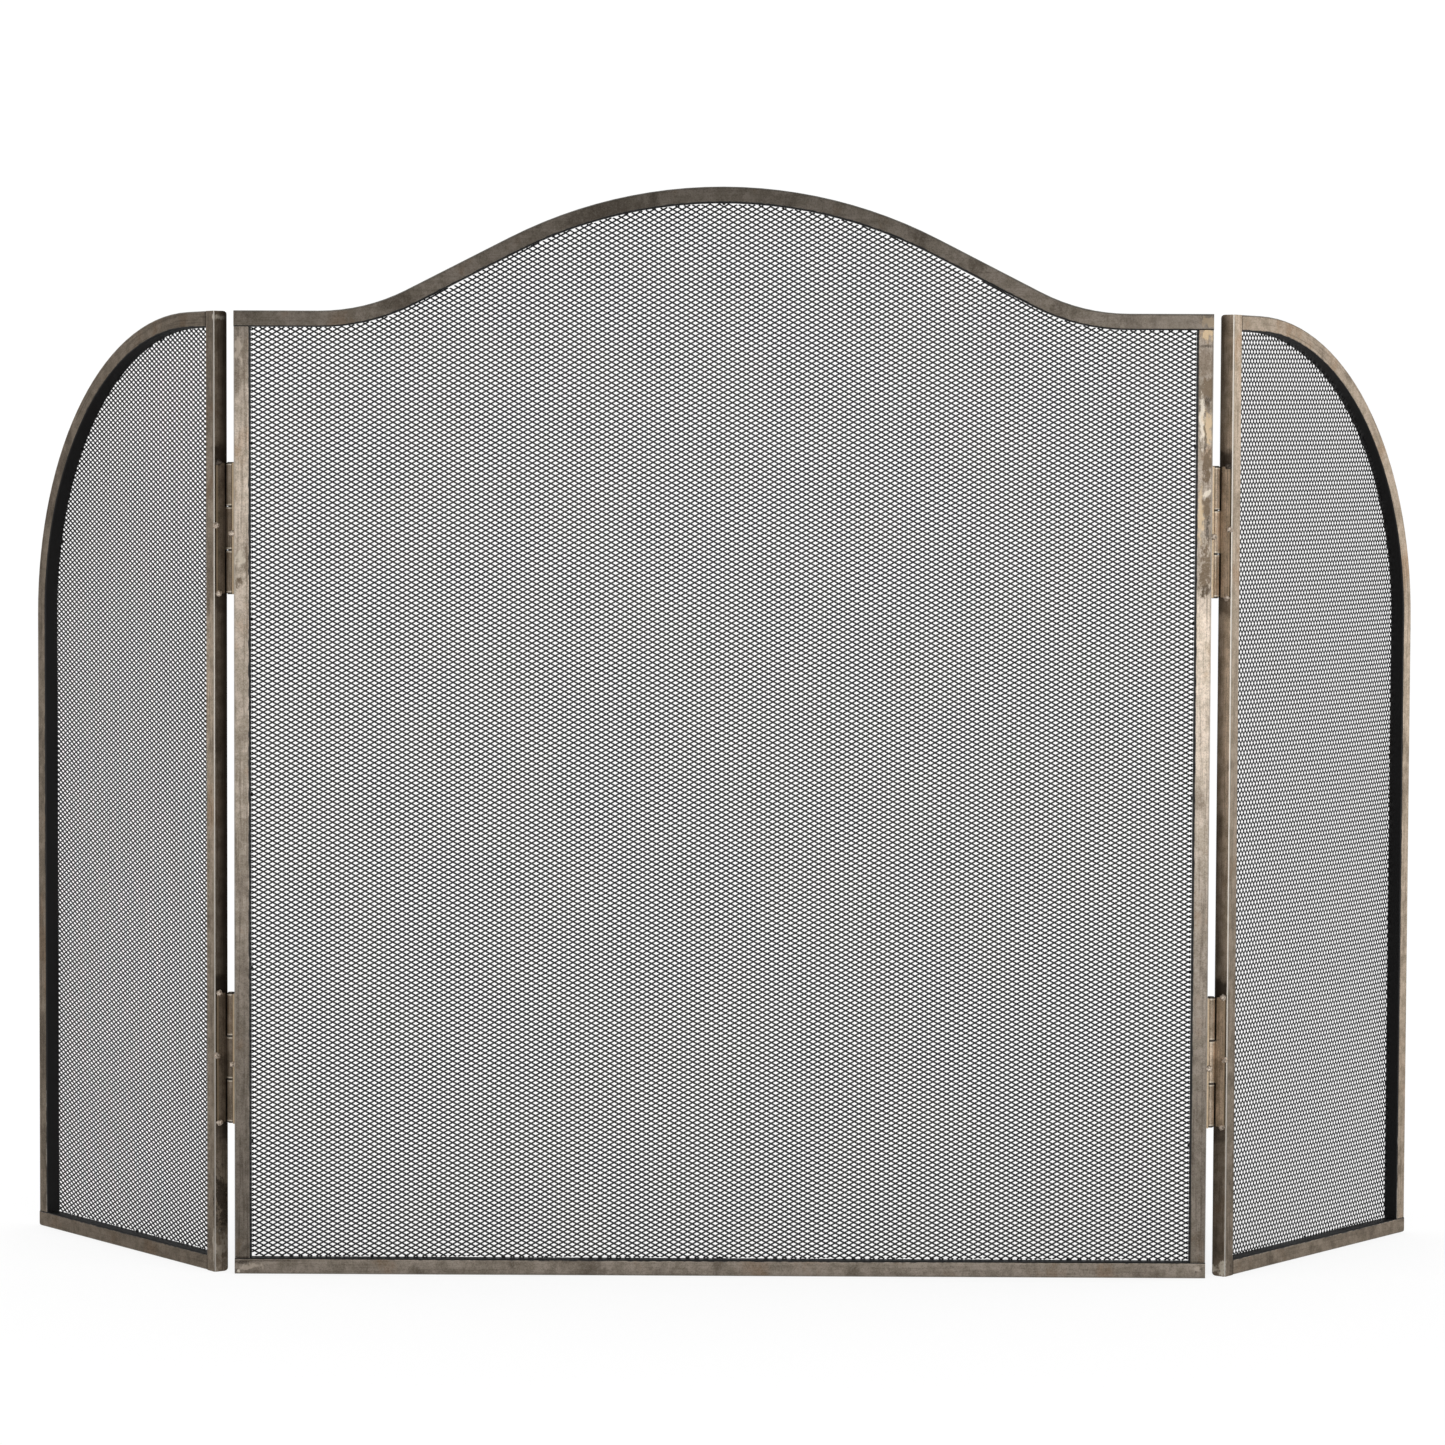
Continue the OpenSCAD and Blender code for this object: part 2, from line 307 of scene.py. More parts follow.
# How ragged a mark's outline is and where it fades, as shares of its reach, and how much the
# specks weaken or strengthen it
RAGGEDNESS = 1.5
MARK_EDGE = (1.2, 0.6)
MARK_SPECKS = (0.5, 1.4)
# How much the mottling weakens or strengthens the wear and painted highlight on a corner
CORNER_MOTTLING = (0.6, 1.4)

# The outer sides of a tube: their painted light and shade against the front's tones, how far
# painted shade darkens them towards the back, the tones of their corners' wear and painted
# highlight, and the lowest and highest points of the hinges on them
Side = namedtuple("Side", "tones shade corners hinges")
# The sides of every tube but the wings' hinge stiles: as bright as the front, a little darker
# towards the back with painted shade, and with their corners' wear and painted highlight at least
# this strong
PLAIN_SIDE_TONES = ((0.0, 1.0), (1.0, 1.0))
PLAIN_SIDE_SHADE = 0.3
LEAST_WEAR_AND_HIGHLIGHT = 0.45
# The brightest that a side may be against the front
SIDE_GAIN = 2.0
# The depth of the tube over which the painted shade darkens sides
SIDE_DEPTH = (-0.7 * HALF_TUBE, 0.8 * HALF_TUBE)
# Where the sides' painted light and shade fade out towards the foot, and how much of them stays
# below that
SIDE_FOOT = (0.17 * SHOULDER_H, 0.10 * SHOULDER_H)
SIDE_FOOT_SHARE = 0.3
# Where in the tube's depth the painted shade in the groove beside a hinge starts, and how strong it
# is
GAP_SHADE_DEPTH = (-0.90 * HALF_TUBE, -0.82 * HALF_TUBE)
GAP_SHADE = 0.9
# Soot lies this far past a hinge's ends, and fades from the nearer to the further distance from
# there, give or take the wander. It is weaker at the lower end.
BURN_OFFSET = 5 * MM
BURN_REACH = (9 * MM, 3 * MM)
BURN_WANDER = 6 * MM
BURN_LOW = 0.5
BURN_HIGH = 0.8

# Parts of the normal, as ranges over which a surface starts to count as: an outer side, the side
# that hinges are on, a long corner, the inner rim, the back, and the back of a hinge leaf
AS_SIDE = (0.70, 0.15)
AS_HINGE_SIDE = (-0.35, -0.60)
AS_CORNER = (0.30, 0.75)
AS_RIM = (0.14, 0.24)
AS_BACK = (0.30, 0.45)
AS_LEAF_BACK = (0.45, 0.75)


def masked_mark(tree, across, up, mark, rough):
    """1 in the middle of a mark, with a ragged edge, and 0 outside it."""
    dx = calc(tree, "DIVIDE", calc(tree, "SUBTRACT", across, mark.x), mark.reach_x)
    dz = calc(tree, "DIVIDE", calc(tree, "SUBTRACT", up, mark.z), mark.reach_z)
    far = vector_calc(tree, "LENGTH", combined(tree, dx, dz))
    ragged = calc(tree, "ADD", far, spread(tree, rough, -RAGGEDNESS, RAGGEDNESS))
    return product(tree, rise(tree, ragged, *MARK_EDGE), mark.strength)


def by_height(tree, up, stops):
    """A tone that follows height. stops are (share of the crown's height, tone) pairs."""
    ramp = node(tree, "ValToRGB", {"Fac": calc(tree, "DIVIDE", up, CROWN_H)})
    elements = ramp.color_ramp.elements
    for element, (height, tone) in zip(elements, (stops[0], stops[-1])):
        element.position = height
        element.color = (tone, tone, tone, 1)
    for height, tone in stops[1:-1]:
        elements.new(height).color = (tone, tone, tone, 1)
    return ramp.outputs["Color"]


def patina(tree, point, lines, seed, streaks=1.0):
    """Brass with mottling, fine lines along the tube, rust-brown patches and specks. lines is
    the point drawn out along the tube, and streaks is how strong the lines are."""
    cloud = grain(tree, point, CLOUD_CELLS, detail=5, roughness=0.65, seed=seed)
    streak = grain(tree, lines, STREAK_CELLS, detail=3, roughness=0.6, seed=seed + 3)
    fine = grain(tree, point, FINE_CELLS, detail=2, roughness=0.7, seed=seed + 5)
    tall = (1, 1, 1.6)
    patch = grain(tree, point, PATCH_CELLS, tall, detail=4, roughness=0.65, seed=seed + 9)
    brass = mix(tree, rise(tree, cloud, 0.38, 0.62), MIDDLE, LIGHT)
    # Layers over that: colour, strength, noise, and the noise's values where it starts and is full
    layers = (
        (RUST, 0.45, patch, 0.54, 0.68),
        (DARK, 0.60, patch, 0.47, 0.36),
        (DARK, 0.55 * streaks, streak, 0.48, 0.66),
        (UMBER, 0.28, fine, 0.50, 0.64),
        (PALE, 0.26, fine, 0.46, 0.34),
    )
    for over, strength, pattern, start, full in layers:
        brass = paint(tree, brass, over, rise(tree, pattern, start, full), strength)
    return brass, cloud, streak, fine


def satin(tree, base, metal, cloud, streak, fine):
    """Wires a brushed-metal surface: gloss that wanders and a fine relief."""
    inputs = tree.nodes["Principled BSDF"].inputs
    feed(tree, inputs["Base Color"], base)
    feed(tree, inputs["Metallic"], metal)
    gloss = spread(tree, cloud, *GLOSS)
    dulled = product(tree, fine, SPECK_ROUGHNESS)
    feed(tree, inputs["Roughness"], calc(tree, "ADD", gloss, dulled))
    relief = calc(tree, "ADD", product(tree, streak, STREAK_RELIEF), fine)
    bump = node(
        tree,
        "Bump",
        {"Strength": RELIEF_STRENGTH, "Distance": RELIEF_DEPTH, "Height": relief},
    )
    feed(tree, inputs["Normal"], bump.outputs[0])


def with_marks(tree, brass, point, place, fine, marks, seed):
    """Adds a tube's marks, broken up by the specks."""
    tall = (1, 1, 2)
    rough = grain(tree, point, RAGGED_CELLS, tall, detail=4, roughness=0.75, seed=seed + 21)
    noise_x = grain(tree, point, WANDER_X_CELLS, detail=2, seed=seed + 23)
    noise_z = grain(tree, point, WANDER_Z_CELLS, detail=2, seed=seed + 27)
    across = calc(tree, "ADD", place[0], spread(tree, noise_x, -WANDER_X, WANDER_X))
    up = calc(tree, "ADD", place[2], spread(tree, noise_z, -WANDER_Z, WANDER_Z))
    for mark in marks:
        if mark.reach_z > WANDERING_REACH:
            area = masked_mark(tree, across, up, mark, rough)
        else:
            area = masked_mark(tree, place[0], place[2], mark, rough)
        area = calc(tree, "MULTIPLY", area, spread(tree, fine, *MARK_SPECKS), clamp=True)
        brass = mix(tree, area, brass, mark.colour)
    return brass


def with_sides(tree, brass, place, facing, cloud, side):
    """Paints light and shade on the outer sides, with painted shade towards the back and in the
    groove in front of a hinge leaf, and soot round its welds."""
    on_side = rise(tree, calc(tree, "ABSOLUTE", facing[1]), *AS_SIDE)
    low_down = rise(tree, place[2], *SIDE_FOOT)
    shaded = product(tree, on_side, spread(tree, low_down, 1.0, SIDE_FOOT_SHARE))
    # Painted light and shade on the sides, against the front's
    halved = [(height, tone / SIDE_GAIN) for height, tone in side.tones]
    toned = vector_calc(tree, "SCALE", by_height(tree, place[2], halved), SIDE_GAIN)
    brass = times(tree, brass, mix(tree, shaded, (1, 1, 1, 1), toned))
    # Painted shade, darkening the sides towards the back
    rearward = rise(tree, place[1], *SIDE_DEPTH)
    brass = paint(tree, brass, SOOT_AND_SHADE, product(tree, shaded, rearward), side.shade)
    for low, high in side.hinges:
        above_foot = rise(tree, place[2], low - 1 * MM, low + 1 * MM)
        below_head = rise(tree, place[2], high + 1 * MM, high - 1 * MM)
        beside = product(tree, above_foot, below_head)
        # Painted shade in the groove between the stile's front corner and the hinge leaf
        deep = rise(tree, place[1], *GAP_SHADE_DEPTH)
        groove = product(tree, deep, rise(tree, facing[0], *AS_HINGE_SIDE))
        brass = paint(tree, brass, SOOT_AND_SHADE, product(tree, beside, groove), GAP_SHADE)
        for end, burn in ((low - BURN_OFFSET, BURN_LOW), (high + BURN_OFFSET, BURN_HIGH)):
            away = calc(tree, "ABSOLUTE", calc(tree, "SUBTRACT", place[2], end))
            ragged = calc(tree, "ADD", away, spread(tree, cloud, -BURN_WANDER, BURN_WANDER))
            burnt = product(tree, rise(tree, ragged, *BURN_REACH), on_side)
            brass = paint(tree, brass, SOOT_AND_SHADE, burnt, burn)
    return brass


def with_corners(tree, brass, place, facing, cloud, tones, wear_and_highlight):
    """Brightens the tube's long corners, where the normal lies between the front and a side, with
    wear and a painted highlight.
    """
    in_plane = vector_calc(tree, "LENGTH", combined(tree, facing[0], facing[2]))
    # Twice the product of the two parts is 1 where they are equal
    corner = product(tree, in_plane, facing[1], -2.0)
    mottling = spread(tree, cloud, *CORNER_MOTTLING)
    worn_and_lit = product(tree, rise(tree, corner, *AS_CORNER), mottling)
    edge = times(tree, PALE, by_height(tree, place[2], tones))
    return mix(tree, calc(tree, "MULTIPLY", worn_and_lit, wear_and_highlight, clamp=True), brass, edge)


def blackened(tree, panel, point, place, normal, facing, seed):
    """1 where the surface looks in at the mesh or to the back, with a wandering edge."""
    middle = (panel.middle[0], 0, panel.middle[1])
    to_middle = vector_calc(tree, "SUBTRACT", middle, combined(tree, place[0], 0.0, place[2]))
    inwards = vector_calc(tree, "NORMALIZE", to_middle)
    edge_noise = grain(tree, point, BLACK_EDGE_CELLS, (1, 1, 2), seed=seed + 14)
    wander = spread(tree, edge_noise, -BLACK_EDGE, BLACK_EDGE)
    inner = calc(tree, "ADD", vector_calc(tree, "DOT_PRODUCT", normal, inwards), wander)
    behind = calc(tree, "ADD", facing[1], wander)
    return calc(tree, "MAXIMUM", rise(tree, inner, *AS_RIM), rise(tree, behind, *AS_BACK))


def frame_finish(name, panel, along, tones, marks=(), seed=0.0, wear_and_highlight=0.6, side=None, tint=PLAIN):
    """Antique brass over black: burnished on the front and outer sides, black inside and behind,
    with painted light and shade up the tube from tones. along is the way that the tube runs: x, z,
    or arch for up a wing and over its curve. The argument after seed is how strongly the corners
    show wear and a painted highlight, and side says how the sides' painted light and shade differ
    from the front."""
    if side is None:
        half_worn_and_lit = [(height, LEAST_WEAR_AND_HIGHLIGHT + (1 - LEAST_WEAR_AND_HIGHLIGHT) * tone) for height, tone in tones]
        side = Side(PLAIN_SIDE_TONES, PLAIN_SIDE_SHADE, half_worn_and_lit, ())
    material, tree = new_material(name)
    point = panel_point(tree, panel)
    normal = panel_normal(tree, panel)
    place = parts_of(tree, point)
    facing = parts_of(tree, normal)

    lines = drawn_along(tree, place, along)
    streaks = 0.5 if along == "x" else 1.0
    brass, cloud, streak, fine = patina(tree, point, lines, seed, streaks)
    # Painted light and shade up the tube
    brass = times(tree, brass, by_height(tree, place[2], tones))
    brass = times(tree, brass, tint)
    brass = with_marks(tree, brass, point, place, fine, marks, seed)
    brass = with_sides(tree, brass, place, facing, cloud, side)
    brass = with_corners(tree, brass, place, facing, cloud, side.corners, wear_and_highlight)

    black = blackened(tree, panel, point, place, normal, facing, seed)
    metal = product(tree, calc(tree, "SUBTRACT", 1.0, black), METALLIC)
    satin(tree, mix(tree, black, brass, BLACK), metal, cloud, streak, fine)
    return material


def drawn_along(tree, place, along, stretch=30):
    """The point with its distance along the tube shortened, so that noise there makes lines."""
    if along == "x":
        return combined(tree, calc(tree, "DIVIDE", place[0], stretch), place[1], place[2])
    if along == "z":
        return combined(tree, place[0], place[1], calc(tree, "DIVIDE", place[2], stretch))
    # Distance out from the wing's hinge side and foot, or from the arch's centre at its curve
    past_x = calc(tree, "SUBTRACT", place[0], WING_W - WING_ARCH_R)
    past_z = calc(tree, "SUBTRACT", place[2], SHOULDER_H - WING_ARCH_R)
    out_x = calc(tree, "MAXIMUM", past_x, 0.0)
    out_z = calc(tree, "MAXIMUM", past_z, 0.0)
    out = vector_calc(tree, "LENGTH", combined(tree, out_x, out_z))
    run = calc(tree, "DIVIDE", calc(tree, "SUBTRACT", place[0], place[2]), stretch)
    return combined(tree, out, place[1], run)


def hinge_finish(name, panel, pivot, tone, seed):
    """A leaf and its knuckles: brass, with a painted highlight on the leaf's front edge, painted
    shade on the leaf behind it off the barrel, and painted highlights and shade at the knuckles'
    rims and gaps. pivot is a point on the barrel's axis."""
    material, tree = new_material(name)
    point = panel_point(tree, panel)
    place = parts_of(tree, point)
    facing = parts_of(tree, panel_normal(tree, panel))
    lines = drawn_along(tree, place, "z")
    brass, cloud, streak, fine = patina(tree, point, lines, seed)
    warm = tuple(tone * part for part in WARM[:3])
    brass = times(tree, brass, (*warm, 1))
    axis = panel.place.inverted() @ pivot
    from_x = calc(tree, "SUBTRACT", place[0], axis.x)
    from_y = calc(tree, "SUBTRACT", place[1], axis.y)
    from_axis = vector_calc(tree, "LENGTH", combined(tree, from_x, from_y))
    # Painted highlight on the leaf's front edge, and painted shade behind it off the barrel
    front_edge = rise(tree, place[1], *LEAF_FRONT)
    brass = paint(tree, brass, STRAW, front_edge, LEAF_FRONT_HIGHLIGHT)
    off_barrel = rise(tree, from_axis, *BARREL_EDGE)
    inner_leaf = rise(tree, place[1], *LEAF_DARK)
    dark = product(tree, inner_leaf, off_barrel)
    brass = paint(tree, brass, SOOT_AND_SHADE, dark, LEAF_DARK_SHADE)
    # Each end of the barrel and each gap between knuckles has painted shade, with a painted
    # highlight on the rim beside it
    on_barrel = calc(tree, "SUBTRACT", 1.0, off_barrel)
    for low, high in (UPPER_HINGE, LOWER_HINGE):
        for gap in (low, low + (high - low) / 3, high - (high - low) / 3, high):
            away = calc(tree, "ABSOLUTE", calc(tree, "SUBTRACT", place[2], gap))
            rim = product(tree, rise(tree, away, *KNUCKLE_RIM), on_barrel)
            brass = paint(tree, brass, BRIGHT, rim, KNUCKLE_RIM_HIGHLIGHT)
            joint = product(tree, rise(tree, away, *KNUCKLE_GAP), on_barrel)
            brass = paint(tree, brass, SOOT_AND_SHADE, joint, KNUCKLE_GAP_SHADE)
    behind = rise(tree, facing[1], *AS_LEAF_BACK)
    metal = product(tree, calc(tree, "SUBTRACT", 1.0, behind), METALLIC)
    satin(tree, mix(tree, behind, brass, BLACK), metal, cloud, streak, fine)
    return material


def weld_finish(name):
    """Fused metal: bright, and brown where the tops of the upper hinges were burnt."""
    material, tree = new_material(name)
    point = node(tree, "TexCoord").outputs["Object"]
    height = parts_of(tree, point)[2]
    lump = grain(tree, point, 700, detail=3, roughness=0.6, seed=31)
    fine = grain(tree, point, 2500, detail=2, seed=41)
    base = mix(tree, rise(tree, lump, 0.34, 0.56), DARK, LIGHT)
    base = paint(tree, base, SOOT_AND_SHADE, rise(tree, height, *BURNT_WELD_FROM), BURNT_WELD)
    satin(tree, base, METALLIC, lump, lump, fine)
    return material


def dress(material, *names):
    """Puts a material on CAD nodes, in place of what they came with."""
    for name in names:
        mesh = frame["nodes"][name].data
        mesh.materials.clear()
        mesh.materials.append(material)


# Tones up each tube, as (share of the crown's height, tone) pairs. They paint the light and shade
# on
# each tube: the centre's stiles carry a painted reflection, brightest well above their middles.
CENTRE_TOP_TONES = ((0.86, 0.28), (0.90, 0.24), (1.0, 0.15))
CENTRE_BOTTOM_TONES = ((0.0, 0.36), (0.012, 0.42), (1.0, 0.42))
CENTRE_LEFT_TONES = (
    (0.0, 0.27),
    (0.10, 0.28),
    (0.23, 0.37),
    (0.42, 0.68),
    (0.59, 0.79),
    (0.74, 0.94),
    (0.83, 0.70),
    (0.86, 0.46),
    (0.88, 0.33),
)
CENTRE_RIGHT_TONES = (
    (0.0, 0.30),
    (0.15, 0.33),
    (0.34, 0.54),
    (0.48, 0.90),
    (0.61, 1.0),
    (0.64, 0.70),
    (0.75, 0.62),
    (0.88, 0.46),
)
WING_TONES = {
    "left_arch": ((0.0, 0.44), (0.5, 0.44), (0.88, 0.35)),
    "left_hinge": ((0.0, 0.46), (0.25, 0.52), (0.53, 0.88), (0.81, 0.37), (0.88, 0.33)),
    "left_bottom": ((0.0, 0.37), (1.0, 0.37)),
    "right_arch": ((0.0, 0.68), (0.5, 0.70), (0.88, 0.52)),
    "right_hinge": ((0.0, 0.40), (0.25, 0.42), (0.53, 0.52), (0.80, 0.70), (0.88, 0.7)),
    "right_bottom": ((0.0, 0.45), (1.0, 0.45)),
}
# The sides of the wings' hinge stiles: their painted light and shade, how far painted shade darkens
# them towards the back, and the tones of their corners' wear and painted highlight
WING_SIDES = {
    "left": ((0.0, 1.0), (0.12, 0.9), (0.17, 0.5), (0.53, 0.24), (0.80, 0.76), (0.88, 0.90)),
    "right": ((0.0, 1.5), (0.12, 1.5), (0.30, 1.4), (0.53, 2.0), (0.80, 1.15), (0.88, 1.1)),
}
WING_SHADES = {"left": 0.88, "right": 0.52}
WING_CORNERS = {
    "left": ((0.0, 0.50), (0.12, 0.52), (0.30, 0.62), (0.53, 0.80), (0.88, 0.62)),
    "right": ((0.0, 0.60), (0.12, 0.66), (0.30, 0.92), (0.53, 1.0), (0.88, 0.95)),
}
# The tones of a hinge's leaf on the centre panel and of the one on the wing: painted light and
# shade, brighter on the right than on the left
LEAF_TONES = {"left": (0.45, 0.34), "right": (0.72, 1.0)}
PIN_TONE = 0.6

STILE_X = CENTRE_W / 2 - HALF_TUBE
CENTRE_LEFT_MARKS = (
    # The joint with the bottom rail, ground flush below it
    Mark(-STILE_X, TUBE + 0.5 * MM, 6 * MM, 0.7 * MM, SOOT_AND_SHADE, 0.8),
    Mark(-STILE_X - 3 * MM, 17 * MM, 2.5 * MM, 4 * MM, STAIN, 0.5),
    # A round scar and a paler patch beside the upper hinge
    Mark(-STILE_X - 1.6 * MM, 437 * MM, 2.2 * MM, 4 * MM, STAIN, 0.9),
    Mark(-STILE_X - 1 * MM, 452 * MM, 3 * MM, 3 * MM, BRIGHT, 0.4),
    Mark(-STILE_X + 3.5 * MM, 449 * MM, 1.5 * MM, 9 * MM, STAIN, 0.6),
    # A pale haze and a dark streak below the shoulder
    Mark(-STILE_X - 2 * MM, 582 * MM, 2.5 * MM, 9 * MM, LIGHT, 0.35),
    Mark(-STILE_X + 2.5 * MM, 575 * MM, 1.8 * MM, 12 * MM, STAIN, 0.4),
)
CENTRE_RIGHT_MARKS = (
    Mark(STILE_X, TUBE + 0.5 * MM, 6 * MM, 0.6 * MM, SOOT_AND_SHADE, 0.5),
    # Blotches and heat stains from the shoulder down past the upper hinge
    Mark(STILE_X + 1 * MM, 592 * MM, 4 * MM, 5 * MM, STRAW, 0.8),
    Mark(STILE_X, 586 * MM, 6 * MM, 1.0 * MM, SOOT_AND_SHADE, 0.5),
    Mark(STILE_X, 576 * MM, 6 * MM, 8 * MM, STAIN, 0.6),
    Mark(STILE_X + 1 * MM, 558 * MM, 5 * MM, 8 * MM, STAIN, 0.9),
    Mark(STILE_X + 2 * MM, 551 * MM, 2 * MM, 3 * MM, SOOT_AND_SHADE, 0.5),
    Mark(STILE_X - 2 * MM, 541 * MM, 2 * MM, 14 * MM, BRIGHT, 0.7),
    Mark(STILE_X + 2 * MM, 536 * MM, 3 * MM, 9 * MM, STRAW, 0.7),
    Mark(STILE_X, 530 * MM, 0.8 * MM, 10 * MM, SOOT_AND_SHADE, 0.6),
    Mark(STILE_X + 1.5 * MM, 511 * MM, 3 * MM, 11 * MM, STAIN, 1.0),
    Mark(STILE_X + 2 * MM, 494 * MM, 2.5 * MM, 4 * MM, BRIGHT, 0.6),
    Mark(STILE_X + 1 * MM, 486 * MM, 2.5 * MM, 6 * MM, STAIN, 1.0),
    Mark(STILE_X + 2.2 * MM, 472 * MM, 1.2 * MM, 10 * MM, SOOT_AND_SHADE, 0.6),
    Mark(STILE_X - 2.5 * MM, 480 * MM, 1.8 * MM, 20 * MM, STRAW, 0.6),
    Mark(STILE_X + 0.5 * MM, 446 * MM, 4.4 * MM, 15 * MM, STAIN, 1.0),
    Mark(STILE_X + 1 * MM, 434 * MM, 4 * MM, 3 * MM, SOOT_AND_SHADE, 0.45),
)
CENTRE_TOP_MARKS = (
    # Lighter towards the right shoulder
    Mark(STILE_X - 15 * MM, 601 * MM, 45 * MM, 14 * MM, LIGHT, 0.06),
    Mark(STILE_X + 2 * MM, 601 * MM, 6 * MM, 4 * MM, STRAW, 0.25),
)
CENTRE_BOTTOM_MARKS = (
    # Ground corners
    Mark(-STILE_X + 4 * MM, 4 * MM, 9 * MM, 3 * MM, LIGHT, 0.35),
    Mark(-STILE_X - 3.2 * MM, 2.2 * MM, 2.2 * MM, 2.2 * MM, SOOT_AND_SHADE, 0.6),
    Mark(-STILE_X - 2.6 * MM, 2.0 * MM, 1.4 * MM, 1.4 * MM, BRIGHT, 0.8),
    Mark(-STILE_X - 1 * MM, 7.5 * MM, 4 * MM, 0.9 * MM, SOOT_AND_SHADE, 0.6),
    Mark(-STILE_X + 8 * MM, 8.6 * MM, 30 * MM, 0.8 * MM, SOOT_AND_SHADE, 0.4),
    Mark(STILE_X, 6.5 * MM, 2.4 * MM, 1.8 * MM, LIGHT, 0.2),
    Mark(STILE_X + 2.4 * MM, 6 * MM, 1.0 * MM, 1.0 * MM, SOOT_AND_SHADE, 0.6),
    Mark(STILE_X - 1 * MM, 4 * MM, 0.8 * MM, 0.8 * MM, SOOT_AND_SHADE, 0.5),
)
HINGE_STILE_MARKS = {
    "left": (
        Mark(0.4 * MM, 44 * MM, 1.0 * MM, 20 * MM, SOOT_AND_SHADE, 0.8),
        Mark(1.2 * MM, 15 * MM, 1.8 * MM, 11 * MM, BRIGHT, 0.45),
        Mark(0.8 * MM, 602 * MM, 1.0 * MM, 2.0 * MM, BRIGHT, 0.8),
    ),
    "right": (
        # A painted highlight on the foot's corner
        Mark(0.6 * MM, 5 * MM, 1.0 * MM, 3.4 * MM, BRIGHT, 0.9),
        Mark(7 * MM, 6 * MM, 0.9 * MM, 0.9 * MM, SOOT_AND_SHADE, 0.7),
    ),
}


def hinge_span(level):
    """The lowest and highest points of the hinges on one level."""
    return tuple(corner.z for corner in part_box(f"{level}_left_hinge_centre_leaf"))


UPPER_HINGE = hinge_span("upper")
LOWER_HINGE = hinge_span("lower")
KNUCKLE_R = 2.7 * MM
# Where the barrel ends, as a distance from its axis
BARREL_EDGE = (KNUCKLE_R * 1.02, KNUCKLE_R * 1.10)
# The painted highlights on knuckles' rims and the painted shade in the gaps between them, as
# distances from a gap's middle
KNUCKLE_RIM = (1.8 * MM, 1.2 * MM)
KNUCKLE_GAP = (0.9 * MM, 0.5 * MM)
KNUCKLE_RIM_HIGHLIGHT = 0.7
KNUCKLE_GAP_SHADE = 0.9
# Where in a leaf's depth the painted highlight on its front edge starts, and the painted shade
# behind that
LEAF_FRONT = (-0.45 * HALF_TUBE, -0.70 * HALF_TUBE)
LEAF_DARK = (-0.2 * HALF_TUBE, 1.1 * HALF_TUBE)
LEAF_FRONT_HIGHLIGHT = 0.45
LEAF_DARK_SHADE = 0.92
# The height over which the topmost weld beads turn brown, and how brown
BURNT_WELD_FROM = (UPPER_HINGE[1] - 5 * MM, UPPER_HINGE[1] - 3 * MM)
BURNT_WELD = 0.85

# The centre's tubes: name, kind, the way that they run, tones and marks
CENTRE_TUBES = (
    ("top", "rail", "x", CENTRE_TOP_TONES, CENTRE_TOP_MARKS),
    ("bottom", "rail", "x", CENTRE_BOTTOM_TONES, CENTRE_BOTTOM_MARKS),
    ("left", "stile", "z", CENTRE_LEFT_TONES, CENTRE_LEFT_MARKS),
    ("right", "stile", "z", CENTRE_RIGHT_TONES, CENTRE_RIGHT_MARKS),
)
for tube_seed, (tube, kind, way, tube_tones, tube_marks) in enumerate(CENTRE_TUBES, 1):
    finish = frame_finish(f"finish_centre_{tube}", CENTRE, way, tube_tones, tube_marks, tube_seed)
    dress(finish, f"centre_{tube}_{kind}")


def dress_wing(name, panel):
    """Finishes one wing's tubes and the hinges beside it."""
    for part, along, seed in (("arch", "arch", 5), ("bottom", "x", 7)):
        key = f"{name}_{part}"
        tones = WING_TONES[key]
        seed += panel.side
        finish = frame_finish(f"finish_{key}", panel, along, tones, seed=seed, tint=WARM)
        dress(finish, f"{key}_rail")
    hinges = (UPPER_HINGE, LOWER_HINGE)
    finish = frame_finish(
        f"finish_{name}_hinge_stile",
        panel,
        "z",
        WING_TONES[f"{name}_hinge"],
        HINGE_STILE_MARKS[name],
        seed=9 + panel.side,
        wear_and_highlight=1.0,
        side=Side(WING_SIDES[name], WING_SHADES[name], WING_CORNERS[name], hinges),
        tint=WARM,
    )
    dress(finish, f"{name}_hinge_stile")
    pivot = Vector(fold_joint(name)["pos_m"])
    centre_tone, wing_tone = LEAF_TONES[name]
    for seed, level in enumerate(("upper", "lower"), 11):
        # The leaf on each panel, and the pin, which is fixed in the centre's leaf
        for part, owner, tone, shift in (
            ("centre_leaf", CENTRE, centre_tone, 0),
            ("wing_leaf", panel, wing_tone, 2),
            ("pin", CENTRE, PIN_TONE, 4),
        ):
            piece = f"{level}_{name}_hinge_{part}"
            dress(hinge_finish(f"finish_{piece}", owner, pivot, tone, seed + shift), piece)


dress_wing("left", LEFT)
dress_wing("right", RIGHT)

# ---- Weld beads ----

# Points nearer than this are one point
SAME_POINT = MM / 1000
# Distance between a bead's lumps, and as shares of its radius how far they stand out and how
# large it is between them
LUMP_PITCH = 1.6 * MM
LUMP_SIZE = 0.30
LUMP_BASE = 0.92
# How fast the noise in the lumps fades as it gets finer, how much finer each layer of it is, and
# how many layers there are
LUMP_NOISE = (0.8, 2.0, 3)
# How much larger a bead is than the plain one that it replaces
BEAD_GROWTH = 1.25


